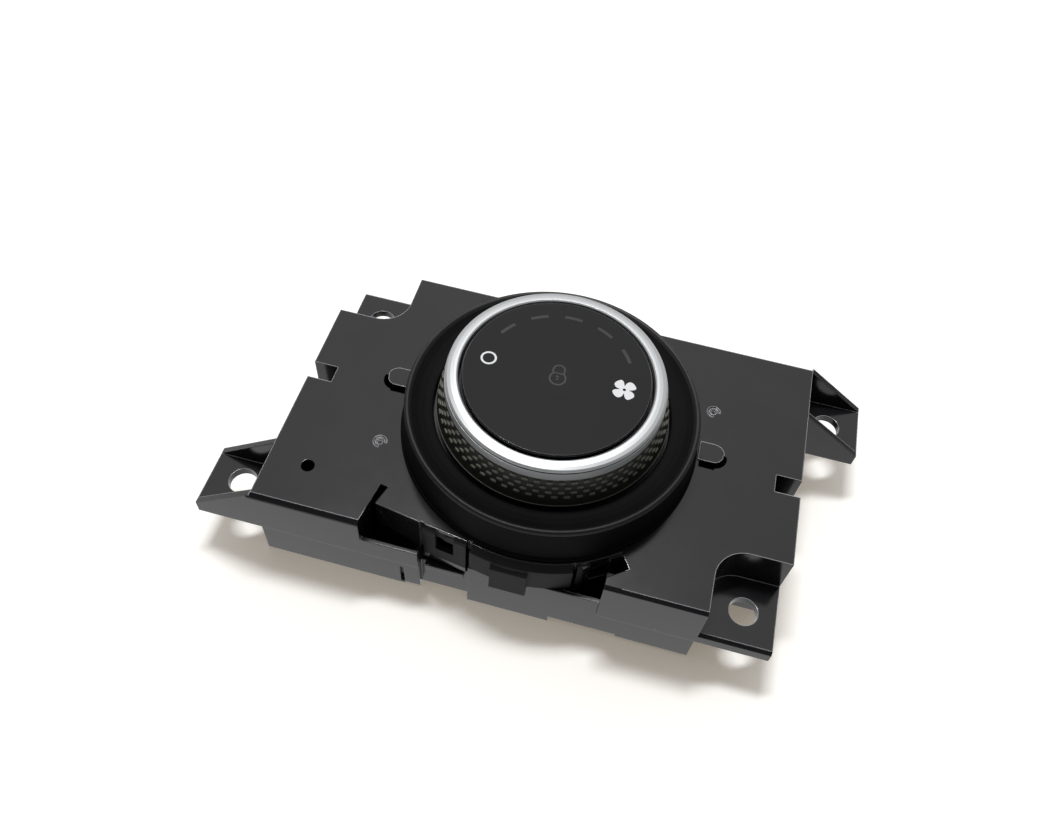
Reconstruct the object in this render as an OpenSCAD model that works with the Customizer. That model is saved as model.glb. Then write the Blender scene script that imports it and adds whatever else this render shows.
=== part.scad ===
// Rotary fan control module for a cabin heater or ventilation panel.
//
// Z = 0 is the flat back of the rear cover and the dial turns about the Z axis.
// The screw ears and the snap straps lie on the -Y side of the housing.
// The fixed dial face stands on the centre post. The knob (rotor, grip ring
// and trim ring) turns round that post without end stops, in detent clicks.

/* [Housing] */
// Width of the housing without its side ears
body_w = 110; // [110:1:116]
// Depth of the housing from front edge to back edge
body_d = 67.4; // [67.4:0.2:72]
// Height of the deck above the back of the rear cover
deck_z = 24; // [24:0.5:28]
// Thickness of the deck
deck_t = 3; // [2.5:0.1:3]
// Thickness of the outer walls
wall = 2; // [1.6:0.1:2.2]
// Height at which the front housing meets the rear cover
split_z = 10.4; // [10.4:0.1:11]
// Width of the broken corners along the long edges
edge_w = 0.75; // [0.4:0.05:1]
// Thickness of the rear cover's floor
floor_t = 2; // [1.6:0.1:2]

/* [Screw ears] */
// How far a side ear reaches past the housing
ear_reach = 14.1; // [14.1:0.2:15]
// Width of a side ear along the housing's edge
ear_w = 14.3; // [14:0.1:15]
// Thickness of the ears
ear_t = 3.4; // [3:0.1:3.4]
// Radius of the screw holes
ear_hole_r = 3; // [2.5:0.1:3.2]
// Distance of the screw holes from the long centre line
ear_hole_y = 26; // [25:0.1:26.5]
// Distance of the side ears' holes from the dial axis, along X
side_hole_x = 61.7; // [61:0.1:62]
// Distance of the corner ears' holes from the dial axis, along X
corner_hole_x = 48.2; // [48:0.1:49]
// Length of the two corner notches along X
notch_w = 15.1; // [15:0.1:16]
// Length of the two corner notches along Y
notch_d = 15.4; // [15:0.1:16]
// Radius of the notches' inner corners
notch_r = 6.5; // [4:0.5:7]

/* [Snap straps] */
// Width of a strap
strap_w = 9.6; // [8:0.2:10]
// Thickness of a strap
strap_t = 1.4; // [1.2:0.1:1.6]
// Width of the window in a strap
window_w = 4; // [3:0.2:5]
// Height of the window in a strap
window_h = 7; // [5:0.5:8]
// Width of the slits beside a strap
slit = 1; // [0.8:0.1:1.2]

/* [Turret] */
// Radius of the turret's foot flange
foot_r = 32.2; // [32:0.1:32.4]
// Radius of the turret wall at its foot
turret_r = 31.75; // [31.5:0.05:31.8]
// Height of the rim above the deck
rim_h = 9.8; // [9.6:0.1:10]
// Radius of the rim's crest
rim_r = 30.6; // [30.5:0.1:30.7]
// Radius of the opening that the knob stands in
well_r = 25; // [24.9:0.1:25.2]

/* [Knob] */
// Radius of the grip at its foot
grip_foot_r = 24.41; // [24:0.01:24.5]
// Radius of the grip at its top
grip_top_r = 22.75; // [22.5:0.05:23]
// Height of the grip's foot above the deck
grip_foot_h = 8.64; // [8.5:0.02:9]
// Height of the trim ring's lower edge above the deck
trim_foot_h = 15.65; // [15.5:0.05:15.8]
// Height of the trim ring's inner edge above the deck
trim_top_h = 18.74; // [18.6:0.02:18.9]
// Radius of the trim ring's opening
trim_in_r = 20; // [20:0.05:20.2]
// Clicks in one turn
clicks = 24; // [12:4:24]
// Radius of the circle on which the detent plunger stands
detent_r = 27.6; // [27.5:0.1:27.7]

/* [Centre post] */
// Outer radius of the post
post_r = 18.6; // [18.5:0.05:18.6]
// Radial running clearance of the knob on the post
run_gap = 0.06; // [0.03:0.01:0.1]
// Radius of the dial face
face_r = 19.35; // [19:0.05:19.4]
// Height of the dial face above the deck
face_h = 18.95; // [18.8:0.05:19]

/* [Hidden] */
$fn = 96;
big = 200;
half_w = body_w / 2;
half_d = body_d / 2;
deck_under = deck_z - deck_t;
ear_top = 13.8;
ear_under = ear_top - ear_t;
pocket_in_x = half_w - notch_w;
pocket_in_y = half_d - notch_d;

// Front edge of the deck, left to right: a slot, a set-back edge and the strap root.
wing_edge_x = -31.9;
slot_back = [-30.2, -23.8];
slot_front = [-28.6, -24.1];
slot_wall = 1.5;
setback_left = [-29.9, -28.4];
setback_mid = [-19.4, -30.1];
strap_root_end = [-8.7, -31.65];
low_wall_top = deck_z - 7.3;
low_wall_end = -19.4;
low_wall_t = 0.9;
right_wing_x = 19.1;
shroud_lip_r = 32.75;
shroud_r = 34.1;
shroud_in_r = 32;
shroud_foot = deck_z - 8.3;
cover_ledge_z = shroud_foot - 0.1;
cover_ledge_end = 11.7;
cover_setback = 0.5;
left_strap = [-14.1, -31.05, -8.2];
right_strap = [17.1, -27.9, 31.6];
strap_foot = split_z + 0.6;
tongue_x = [-3.8, 3.9];

// Circuit board and what stands on it.
board_z = 8;
board_t = 1.6;
board_top = board_z + board_t;
board_half = [46, 23];
board_screws_at = [[-42, -19], [42, 19], [32, -19.5], [-32, 19.5]];
cover_screws_at = [[-49, -27.6], [49, 27.6], [34, -27.6], [-34, 27.6]];
socket_at = [34, 6];
socket_size = [22, 10.4];
socket_wall = 1.3;

// Knob and post stack, heights above the back of the rear cover.
grip_foot_z = deck_z + grip_foot_h;
trim_foot_z = deck_z + trim_foot_h;
trim_top_z = deck_z + trim_top_h;
face_z = deck_z + face_h;
face_t = 1.5;
diffuser_t = 0.8;
post_top = face_z - face_t - diffuser_t;
post_in_r = post_r - 1.4;
post_flange_r = 19.5;
post_flange_t = 1.2;
rotor_in_r = post_r + run_gap;
rotor_out_r = 21.6;
rotor_foot = deck_z + 3.4;
rotor_top = trim_top_z - 1.14;
flange_r = 29.2;
flange_z = [deck_z + 4, deck_z + 5.5];
track_z = deck_z + 3;
valley_r = 6;
valley_z = deck_z + 3.9;
skirt_r = [23, 24];
skirt_foot = 12.2;
skirt_window_top = 16;
bore_r = 25.2;
clip_angles = [60, 180, 300];
foot_angles = [90, 210, 330];
sensor_angles = [255, 288.75];

// Detent plunger and spring.
detent_angle = 135;
plunger_r = 1.5;
plunger_foot = deck_z - 4;
guide_floor = deck_z - 6.6;
spring_turns = 7;
spring_r = 0.9;
spring_wire_r = 0.16;

// Places of the lit symbols, which the light pipes serve.
arc_light_r = 15.6;
symbol_spots = [[-14.5, 0.6], [13.9, 0.6], [0, 0.5]];
arc_spots = [for (a = [35:27.5:145]) arc_light_r * [cos(a), sin(a)]];
light_spots = concat(symbol_spots, arc_spots);
pipe_r = 1;

function at_polar(r, a) = [r * cos(a), r * sin(a)];

// ---- plan of the housing -------------------------------------------------

// Rounded-in notch at the front right corner, grown on its inner sides.
module corner_notch(grow) {
    left = pocket_in_x - grow;
    back = -pocket_in_y + grow;
    r = notch_r + grow;
    translate([left + r, -big])
        square([big, big + back]);
    translate([left, -big])
        square([big, big + back - r]);
    translate([left + r, back - r])
        circle(r = r);
}

// Small square notch in the middle of the right side.
module side_notch(grow) {
    depth = 5.5;
    width = 4.2;
    translate([half_w - depth - grow, -width / 2 - grow])
        square([big, width + 2 * grow]);
}

// Outline of the housing, drawn in by an inset.
module plan(inset) {
    difference() {
        square([body_w - 2 * inset, body_d - 2 * inset], center = true);
        for (a = [0, 180])
            rotate(a) {
                corner_notch(inset);
                side_notch(inset);
            }
    }
}

// Ground that the housing leaves free along its front edge, apart from the round shroud.
module front_gap() {
    polygon([
        [wing_edge_x, -big], [wing_edge_x, -half_d], slot_back, slot_front, setback_left,
        setback_mid, strap_root_end, [strap_root_end[0], -28], [15, -24],
        [20.8, -24.9], [23.1, -28.4], [right_wing_x, -31.3], [right_wing_x, -big]
    ]);
}

// Wall of the turret's shroud, bevelled at its lip, with room round the two straps.
module shroud() {
    bevel = shroud_r - shroud_lip_r;
    difference() {
        rotate_extrude()
            polygon([
                [0, deck_under], [shroud_in_r, deck_under], [shroud_in_r, shroud_foot],
                [shroud_r, shroud_foot], [shroud_r, deck_z - bevel], [shroud_lip_r, deck_z], [0, deck_z]
            ]);
        at_strap(right_strap)
            strap_clearance();
        at_strap(left_strap)
            strap_clearance();
    }
}

// Deck and outer walls, without what stands on them.
module shell() {
    translate([0, 0, deck_under])
        linear_extrude(deck_t)
            difference() {
                plan(0);
                front_gap();
            }
    translate([0, 0, split_z])
        linear_extrude(deck_under + 0.5 - split_z)
            difference() {
                plan(0);
                plan(wall);
                front_gap();
            }
}

// ---- front housing -------------------------------------------------------

module at_strap(place) {
    translate([place[0], place[1], 0])
        rotate(place[2])
            children();
}

// Strap that hangs from the deck: a bent root, a window and a free end. Its outside looks along -Y.
module snap_strap() {
    reach = 0.6;
    translate([-strap_w / 2, 0, 0])
        rotate([90, 0, 90])
            difference() {
                linear_extrude(strap_w)
                    union() {
                        translate([-reach, strap_foot + 0.6])
                            square([strap_t, deck_z - strap_t - strap_foot - 0.6]);
                        polygon([
                            [-reach, strap_foot + 0.6], [strap_t - reach - 0.6, strap_foot],
                            [strap_t - reach, strap_foot], [strap_t - reach, strap_foot + 0.6]
                        ]);
                        intersection() {
                            translate([strap_t - reach, deck_z - strap_t])
                                circle(r = strap_t);
                            translate([-reach, deck_z - strap_t])
                                square([strap_t, strap_t]);
                        }
                        translate([strap_t - reach, deck_under])
                            square([1.2, deck_t]);
                    }
                translate([-1.2, deck_z - window_h, (strap_w - window_w) / 2])
                    cube([strap_t + 1.8, window_h + 1, window_w]);
            }
}

// Space that keeps the shroud clear of a strap: behind it under the deck, and in front of its root.
module strap_clearance() {
    width = strap_w + 2 * slit;
    room = 3;
    translate([-width / 2, -room, 0])
        cube([width, room + 4, deck_under - 0.4]);
    translate([-width / 2, -room, 0])
        cube([width, room, big]);
}

// Slit at one side of a strap, which runs a little way into the deck.
module strap_slit(side) {
    translate([side * (strap_w + slit) / 2 - slit / 2, -1.6, 0])
        cube([slit, 2.1, big]);
}

// Tongue over the middle of the front wall: a ramp from the deck and a hanging plate.
module front_tongue() {
    face_y = -half_d - 1;
    back_y = -half_d;
    translate([tongue_x[0], 0, 0])
        rotate([90, 0, 90])
            linear_extrude(tongue_x[1] - tongue_x[0])
                polygon([
                    [-31.2, deck_z], [-32.3, deck_z], [face_y, deck_z - 3],
                    [face_y, split_z + 2.4], [back_y, split_z + 2.4],
                    [back_y, deck_z - 5], [-32.4, deck_z - 2.9], [-31.2, deck_z - 2.9]
                ]);
}

// Takes the sharp corner off a straight top edge at height z, with the part on its inner side:
// the edge runs along X from x0 to x1 at the front of the housing.
module broken_edge(x0, x1, z) {
    spare = 0.5;
    translate([x0, -half_d, z])
        rotate([90, 0, 90])
            linear_extrude(x1 - x0)
                polygon([[-spare, spare], [-spare, -edge_w - spare], [edge_w + spare, spare]]);
}

module broken_edges() {
    broken_edge(-half_w, wing_edge_x + 0.3, deck_z);
    broken_edge(right_wing_x - 0.5, pocket_in_x, deck_z);
    broken_edge(pocket_in_x, half_w + 1, ear_top);
    rotate(180) {
        broken_edge(-half_w, pocket_in_x, deck_z);
        broken_edge(pocket_in_x, half_w + 1, ear_top);
    }
}

module side_ear() {
    end_y = half_d - ear_w;
    gusset_t = 1.3;
    translate([half_w - wall, end_y, ear_under])
        cube([ear_reach + wall, ear_w, ear_t]);
    for (y = [end_y, half_d - gusset_t])
        translate([0, y + gusset_t, 0])
            rotate([90, 0, 0])
                linear_extrude(gusset_t)
                    polygon([
                        [half_w - wall, ear_under], [half_w + ear_reach, ear_under],
                        [half_w + ear_reach, ear_top], [half_w, deck_z], [half_w - wall, deck_z]
                    ]);
}

module corner_ear() {
    intersection() {
        translate([pocket_in_x - 1, -half_d, ear_under])
            cube([notch_w + 1, notch_d + 1, ear_t]);
        translate([0, 0, ear_under])
            linear_extrude(ear_t)
                intersection() {
                    corner_notch(1);
                    square([body_w, body_d], center = true);
                }
    }
}

// Ear holes, on the ears that side_ear() and corner_ear() make, each in a recess of the underside.
module ear_holes() {
    plate_t = 1.9;
    recess_r = ear_hole_r + 1.8;
    for (a = [0, 180])
        rotate(a)
            for (p = [[side_hole_x, ear_hole_y], [corner_hole_x, -ear_hole_y]])
                translate([p[0], p[1], ear_under - 1]) {
                    cylinder(r = ear_hole_r, h = ear_t + 2);
                    cylinder(r = recess_r, h = ear_t - plate_t + 1);
                }
}

// Wall under the deck that follows a straight line from a to b, on the left of its direction.
// It runs past its ends by the two laps, which fills the outer corners between walls.
module wall_along(a, b, laps) {
    run = b - a;
    translate([a[0], a[1], split_z])
        rotate(atan2(run[1], run[0]))
            translate([-laps[0], 0, 0])
                cube([norm(run) + laps[0] + laps[1], slot_wall, deck_under + 0.5 - split_z]);
}

// Hook slot beside the turret, on the right side: a bar that curls up round a pad.
module hook_slot() {
    curl_at = [35.9, 2.6];
    curl_r = [2.1, 2.75];
    translate([32.9, -0.55, deck_under - 1])
        cube([3.4, 1.5, deck_t + 2]);
    translate([curl_at[0], curl_at[1], deck_under - 1])
        intersection() {
            difference() {
                cylinder(r = curl_r[1], h = deck_t + 2);
                translate([-0.2, 0.5, -1])
                    cylinder(r = curl_r[0], h = deck_t + 4);
            }
            translate([0, -3.2, 0])
                cube([4, 4, deck_t + 2]);
        }
}

module hook_pad() {
    pad_h = 0.35;
    pad_r = 2.4;
    translate([35.6, 3.4, deck_z])
        cylinder(r = pad_r, h = pad_h);
    translate([shroud_lip_r - 0.3, 3.4 - pad_r, deck_z])
        cube([35.6 - shroud_lip_r + 0.3, 2 * pad_r, pad_h]);
}

// Round moulding mark: a shallow ring, open on one side, about a dimple.
module mould_mark() {
    depth = 0.35;
    translate([0, 0, deck_z - depth])
        difference() {
            cylinder(r = 1.45, h = depth + 1);
            translate([0, 0, -1])
                cylinder(r = 1, h = depth + 3);
            translate([0, -2, -1])
                cube([2, 2, depth + 3]);
        }
    translate([0, -0.1, deck_z - depth])
        cylinder(r = 0.6, h = depth + 1);
}

module deck_holes() {
    translate([-46.2, -23.9, deck_under - 1])
        cylinder(r = 1.4, h = deck_t + 2);
    translate([-33.9, -13.9, 0])
        mould_mark();
    translate([34.2, 14.6, 0])
        mould_mark();
    hook_slot();
    mirror([1, 0, 0])
        hook_slot();
    for (a = clip_angles)
        rotate(a)
            translate([28.4, -3.3, deck_under - 1])
                cube([2.1, 6.6, deck_t + 2]);
}

module screw_bosses() {
    for (p = cover_screws_at)
        translate([p[0], p[1], split_z])
            cylinder(r = 3.2, h = deck_under - split_z);
}

module front_housing() {
    color("#2b2c2e")
        difference() {
            union() {
                shell();
                shroud();
                // low wall in front of the left pocket, and the walls behind it
                translate([wing_edge_x - 1, -half_d, split_z])
                    cube([low_wall_end - wing_edge_x + 1, low_wall_t, low_wall_top - split_z]);
                wall_along([wing_edge_x, -half_d], slot_back, [0, 0.8]);
                wall_along(slot_back, slot_front, [slot_wall, slot_wall]);
                wall_along(slot_front, setback_left, [0.8, 0]);
                wall_along(setback_left, setback_mid, [0, 0]);
                // right wing's end wall
                translate([right_wing_x, -half_d, split_z])
                    cube([wall, 5, deck_under - split_z]);
                at_strap(left_strap)
                    snap_strap();
                at_strap(right_strap)
                    snap_strap();
                front_tongue();
                for (a = [0, 180])
                    rotate(a) {
                        side_ear();
                        corner_ear();
                    }
                screw_bosses();
                hook_pad();
                mirror([1, 0, 0])
                    hook_pad();
                rotate(detent_angle)
                    translate([detent_r, 0, guide_floor - 1])
                        cylinder(r = 2.8, h = deck_z - guide_floor + 1);
            }
            translate([0, 0, deck_under - 1])
                cylinder(r = bore_r, h = deck_t + 2);
            ear_holes();
            deck_holes();
            broken_edges();
            at_strap(left_strap) {
                strap_slit(-1);
                strap_slit(1);
            }
            at_strap(right_strap)
                strap_slit(-1);
            for (p = cover_screws_at)
                translate([p[0], p[1], split_z - 1])
                    cylinder(r = 1.3, h = 9);
            rotate(detent_angle)
                translate([detent_r, 0, guide_floor])
                    cylinder(r = plunger_r + 0.05, h = big);
        }
}

// ---- rear cover ----------------------------------------------------------

// Outline of the cover: the housing's plan, set back on the long sides, with a recess under the left strap.
module cover_plan(inset) {
    recess_d = 2.2;
    difference() {
        intersection() {
            plan(inset);
            square([body_w, body_d - 2 * (cover_setback + inset)], center = true);
        }
        translate([low_wall_end - inset, -big])
            square([strap_root_end[0] - low_wall_end + 2 * inset, big - half_d + recess_d + inset]);
    }
}

// Rebate of height h along the cover's lower front edge from x0 to x1.
module cover_rebate(x0, x1, h) {
    translate([x0, -half_d - 1, -1])
        cube([x1 - x0, cover_setback + 2.2, h + 1]);
}

module rear_cover() {
    ledge_t = 0.8;
    groove_x = -23.8;
    groove_w = 0.9;
    color("#303134")
        difference() {
            union() {
                linear_extrude(floor_t)
                    cover_plan(0);
                translate([0, 0, floor_t])
                    linear_extrude(split_z - floor_t)
                        difference() {
                            cover_plan(0);
                            cover_plan(wall);
                        }
                // raised wall under the turret, and the catch under the left strap
                translate([strap_root_end[0], cover_setback - half_d, split_z - 1])
                    cube([right_wing_x - strap_root_end[0], wall, cover_ledge_z - split_z + 1]);
                translate([low_wall_end + slit, -half_d + 1.1, split_z - 1.6])
                    cube([strap_w - 1, 1.2, 1.6]);
                for (p = cover_screws_at)
                    translate([p[0], p[1], floor_t])
                        cylinder(r = 3.2, h = split_z - floor_t);
                for (p = board_screws_at)
                    translate([p[0], p[1], floor_t])
                        cylinder(r = 2.6, h = board_z - floor_t);
            }
            for (p = cover_screws_at)
                translate([p[0], p[1], -1]) {
                    cylinder(r = 1.6, h = split_z + 2);
                    cylinder(r = 3, h = 3.4);
                }
            for (p = board_screws_at)
                translate([p[0], p[1], floor_t + 0.5])
                    cylinder(r = 1.1, h = board_z);
            translate([socket_at[0], socket_at[1], 0])
                cube([socket_size[0] + 0.6, socket_size[1] + 0.6, 3 * floor_t], center = true);
            // pocket behind the raised wall, beside the right strap
            translate([cover_ledge_end, cover_setback - half_d + ledge_t, cover_ledge_z - 3])
                cube([right_wing_x - cover_ledge_end + 1, wall, 4]);
            // groove below the left pocket, and rebates along the lower front edge
            translate([groove_x, -half_d - 1, 0.9])
                cube([groove_w, cover_setback + 1.9, 6.9]);
            cover_rebate(-22.9, low_wall_end + 1, 0.8);
            cover_rebate(9.4, 24.2, 2.2);
            cover_rebate(24.1, half_w, 1.4);
        }
}

// ---- turret --------------------------------------------------------------

module dial_surround() {
    rim_z = deck_z + rim_h;
    color("#202123")
        union() {
            rotate_extrude()
                polygon([
                    [30.4, deck_z], [foot_r, deck_z], [foot_r, deck_z + 0.65],
                    [turret_r, deck_z + 0.8], [rim_r + 0.55, rim_z - 0.8],
                    [rim_r + 0.36, rim_z - 0.3], [rim_r, rim_z], [rim_r - 0.4, rim_z - 0.1],
                    [rim_r - 1.1, rim_z - 0.65], [28.2, rim_z - 1.3], [26.8, rim_z - 1.72],
                    [well_r + 0.3, rim_z - 1.9], [well_r, rim_z - 2.15], [well_r, rim_z - 3.3],
                    [26.2, rim_z - 3.3], [28, rim_z - 2.9], [29.4, rim_z - 2.2],
                    [29.9, rim_z - 2.4], [30.2, deck_z + 1.2]
                ]);
            for (a = clip_angles)
                rotate(a) {
                    translate([29.6, -3, deck_under - 1.6])
                        cube([0.8, 6, 6]);
                    translate([28.7, -3, deck_under - 1.6])
                        cube([1.2, 6, 1.5]);
                }
        }
}

// ---- centre post and what it carries ------------------------------------

module centre_post() {
    color("#17181a")
        difference() {
            union() {
                translate([0, 0, board_top])
                    cylinder(r = post_r, h = post_top - board_top);
                translate([0, 0, post_top - post_flange_t])
                    cylinder(r = post_flange_r, h = post_flange_t);
                for (a = foot_angles)
                    rotate(a)
                        translate([post_in_r + 0.6, -2.6, board_top])
                            cube([21.8 - post_in_r, 5.2, 3.4]);
            }
            translate([0, 0, board_top - 1])
                cylinder(r = post_in_r, h = big);
            for (a = foot_angles)
                rotate(a)
                    translate([20.4, 0, board_top - 1])
                        cylinder(r = 0.9, h = 3.6);
            translate([0, 0, rotor_foot - 1.45])
                difference() {
                    cylinder(r = post_r + 1, h = 0.95);
                    translate([0, 0, -1])
                        cylinder(r = post_r - 0.6, h = 3);
                }
        }
}

module dial_face() {
    edge = 0.25;
    color("#26262b")
        rotate_extrude()
            polygon([
                [0, face_z - face_t], [face_r, face_z - face_t], [face_r, face_z - edge],
                [face_r - edge, face_z], [0, face_z]
            ]);
}

module diffuser() {
    color("#e9e9e4")
        translate([0, 0, post_top])
            cylinder(r = face_r - 0.05, h = diffuser_t);
}

module light_shield() {
    shield_h = 3.6;
    color("#111213")
        translate([0, 0, post_top - shield_h])
            difference() {
                cylinder(r = post_in_r - 0.05, h = shield_h);
                for (p = light_spots)
                    translate([p[0], p[1], -1])
                        cylinder(r = pipe_r + 0.15, h = shield_h + 2);
            }
}

module light_guide() {
    plate_z = deck_z + 6;
    color("#dfe8ee")
        union() {
            translate([0, 0, plate_z])
                cylinder(r = post_in_r - 0.1, h = 2);
            for (p = light_spots)
                translate([p[0], p[1], board_top + 1.2])
                    cylinder(r = pipe_r, h = post_top - board_top - 1.3);
        }
}

// ---- circuit board -------------------------------------------------------

module circuit_board() {
    color("#1f5a38")
        difference() {
            translate([0, 0, board_z])
                linear_extrude(board_t)
                    difference() {
                        square(2 * board_half, center = true);
                        for (a = [0, 180])
                            rotate(a)
                                corner_notch(wall + 1.2);
                    }
            for (p = board_screws_at)
                translate([p[0], p[1], board_z - 1])
                    cylinder(r = 1.4, h = board_t + 2);
            for (a = foot_angles)
                rotate(a)
                    translate([20.4, 0, board_z - 1])
                        cylinder(r = 1.1, h = board_t + 2);
            translate([0, 0, board_z - 1])
                for (i = [-3:3])
                    translate([socket_at[0] + 2.5 * i, socket_at[1], 0])
                        cylinder(r = 0.5, h = board_t + 2);
        }
}

module indicator_leds() {
    color("#f4f1da")
        for (p = light_spots)
            translate([p[0] - 0.8, p[1] - 0.4, board_top])
                cube([1.6, 0.8, 0.8]);
}

// Two forks that the skirt of the rotor passes through.
module photo_interrupters() {
    color("#141414")
        for (a = sensor_angles)
            rotate(a)
                translate([0, -2.2, board_top])
                    difference() {
                        translate([21, 0, 0])
                            cube([5, 4.4, 6]);
                        translate([skirt_r[0] - 0.5, -1, 1.6])
                            cube([skirt_r[1] - skirt_r[0] + 1, 7, 6]);
                    }
}

module microcontroller() {
    body = 9;
    pitch = 0.8;
    color("#161617")
        translate([-36, 2, board_top])
            union() {
                translate([-body / 2, -body / 2, 0.15])
                    cube([body, body, 1.3]);
                for (a = [0:90:270], i = [-4:4])
                    rotate(a)
                        translate([body / 2 - 0.2, pitch * i - 0.17, 0])
                            cube([1.2, 0.34, 0.3]);
            }
}

module board_components() {
    color("#b9a684")
        union() {
            for (i = [0:4])
                translate([-43 + 4 * i, -10, board_top])
                    cube([2, 1.25, 0.7]);
            for (i = [0:3])
                translate([29 + 4.2 * i, 12.5, board_top])
                    cube([2, 1.25, 0.7]);
            translate([40, -4, board_top])
                cylinder(r = 3.1, h = 7.4);
            translate([31, -10, board_top])
                cube([4.6, 3.8, 2.4]);
        }
}

module socket_shell() {
    inner = socket_size - 2 * [socket_wall, socket_wall];
    color("#26282a")
        translate([socket_at[0], socket_at[1], 0])
            difference() {
                translate([-socket_size[0] / 2, -socket_size[1] / 2, 0.3])
                    cube([socket_size[0], socket_size[1], board_z - 0.3]);
                translate([-inner[0] / 2, -inner[1] / 2, -1])
                    cube([inner[0], inner[1], board_z - 0.4]);
                for (i = [-3:3])
                    translate([2.5 * i, 0, 1])
                        cylinder(r = 0.45, h = board_z);
            }
}

module socket_pins() {
    color("#c9a24a")
        for (i = [-3:3])
            translate([socket_at[0] + 2.5 * i, socket_at[1], 5.4])
                cylinder(r = 0.32, h = board_top - 5.4 + 0.8);
}

// ---- fasteners -----------------------------------------------------------

// Cross-recess pan-head screw that points up along +Z from the underside of its head.
module screw(head_r, head_h, shank_r, length) {
    difference() {
        translate([0, 0, -head_h])
            cylinder(r = head_r, h = head_h);
        for (a = [0, 90])
            rotate(a)
                translate([-head_r * 0.55, -head_r * 0.12, -head_h - 1])
                    cube([head_r * 1.1, head_r * 0.24, 1 + head_h * 0.5]);
    }
    cylinder(r = shank_r, h = length);
}

module cover_screws() {
    color("#8c8f92")
        for (p = cover_screws_at)
            translate([p[0], p[1], 2.4])
                screw(2.8, 2, 1.25, 15);
}

module board_screws() {
    color("#8c8f92")
        for (p = board_screws_at)
            translate([p[0], p[1], board_top])
                mirror([0, 0, 1])
                    screw(2.2, 1.5, 1.05, 6);
}

module post_screws() {
    color("#8c8f92")
        for (a = foot_angles)
            rotate(a)
                translate([20.4, 0, board_z])
                    screw(1.8, 1.3, 0.85, 3.8);
}

module retaining_ring() {
    ring_z = rotor_foot - 1.4;
    color("#9fa2a5")
        translate([0, 0, ring_z])
            difference() {
                cylinder(r = post_r + 1.6, h = 0.8);
                translate([0, 0, -1])
                    cylinder(r = post_r - 0.55, h = 3);
                translate([0, -2.5, -1])
                    cube([big, 5, 3]);
            }
}

module bearing_ring() {
    color("#efefe9")
        translate([0, 0, rotor_foot - 0.55])
            difference() {
                cylinder(r = post_r + 1.9, h = 0.5);
                translate([0, 0, -1])
                    cylinder(r = post_r + 0.05, h = 3);
            }
}

// ---- detent --------------------------------------------------------------

// One unbroken wire wound round Z, flat turns at neither end.
module coil(coil_r, wire_r, height, turns) {
    per_turn = 14;
    sides = 6;
    steps = turns * per_turn;
    function spot(i, k) =
        let (a = 360 * i / per_turn, b = 360 * k / sides, r = coil_r + wire_r * cos(b))
            [r * cos(a), r * sin(a), wire_r + (height - 2 * wire_r) * i / steps + wire_r * sin(b)];
    points = [for (i = [0:steps], k = [0:sides - 1]) spot(i, k)];
    sheath = [
        for (i = [0:steps - 1], k = [0:sides - 1])
            let (a = i * sides + k, b = i * sides + (k + 1) % sides)
                each [[a, b, b + sides], [a, b + sides, a + sides]]
    ];
    first = [for (k = [1:sides - 2]) [0, k + 1, k]];
    last = [for (k = [1:sides - 2]) let (o = steps * sides) [o, o + k, o + k + 1]];
    polyhedron(points = points, faces = [for (f = concat(sheath, first, last)) [f[2], f[1], f[0]]]);
}

module detent_spring() {
    color("#b4b7ba")
        rotate(detent_angle)
            translate([detent_r, 0, guide_floor + 0.02])
                coil(spring_r, spring_wire_r, deck_z - 0.2 - guide_floor, spring_turns);
}

module detent_plunger() {
    nose_z = valley_z - 0.05 - plunger_r;
    color("#e8e6df")
        rotate(detent_angle)
            translate([detent_r, 0, 0])
                difference() {
                    union() {
                        translate([0, 0, plunger_foot])
                            cylinder(r = plunger_r, h = nose_z - plunger_foot);
                        translate([0, 0, nose_z])
                            sphere(r = plunger_r);
                    }
                    translate([0, 0, plunger_foot - 1])
                        cylinder(r = spring_r + spring_wire_r + 0.05, h = deck_z - plunger_foot + 1);
                }
}

// ---- knob ----------------------------------------------------------------

// Carrier of the knob: bearing sleeve, detent track under the flange, and a slotted skirt.
module rotor() {
    color("#1c1d1f")
        difference() {
            union() {
                rotate_extrude()
                    polygon([
                        [rotor_in_r, rotor_foot], [19.65, rotor_foot], [19.65, post_top - 4],
                        [20.4, post_top - 4], [20.4, flange_z[0]], [skirt_r[0], flange_z[0]],
                        [skirt_r[0], skirt_foot], [skirt_r[1], skirt_foot],
                        [skirt_r[1], flange_z[0]], [25.9, flange_z[0]], [25.9, track_z],
                        [flange_r, track_z], [flange_r, flange_z[1]], [rotor_out_r, flange_z[1]],
                        [rotor_out_r, rotor_top], [trim_in_r - 0.1, rotor_top],
                        [trim_in_r - 0.1, post_top - post_flange_t - 0.4],
                        [rotor_in_r, post_top - post_flange_t - 0.4]
                    ]);
            }
            for (i = [0:clicks - 1])
                rotate(detent_angle + 360 / clicks * i) {
                    translate([25.4, 0, valley_z - valley_r])
                        rotate([0, 90, 0])
                            cylinder(r = valley_r, h = 5);
                    translate([skirt_r[0] - 1, -skirt_r[0] * sin(90 / clicks), skirt_foot - 1])
                        cube([3, 2 * skirt_r[0] * sin(90 / clicks), skirt_window_top - skirt_foot + 1]);
                }
        }
}

module grip_ring() {
    color("#1d1d19")
        rotate_extrude()
            polygon([
                [rotor_out_r, grip_foot_z], [grip_foot_r - 0.15, grip_foot_z],
                [grip_foot_r, grip_foot_z + 0.15], [grip_foot_r - 0.05, grip_foot_z + 0.5],
                [23.85, grip_foot_z + 1.9], [grip_top_r, trim_foot_z], [rotor_out_r, trim_foot_z]
            ]);
}

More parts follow.
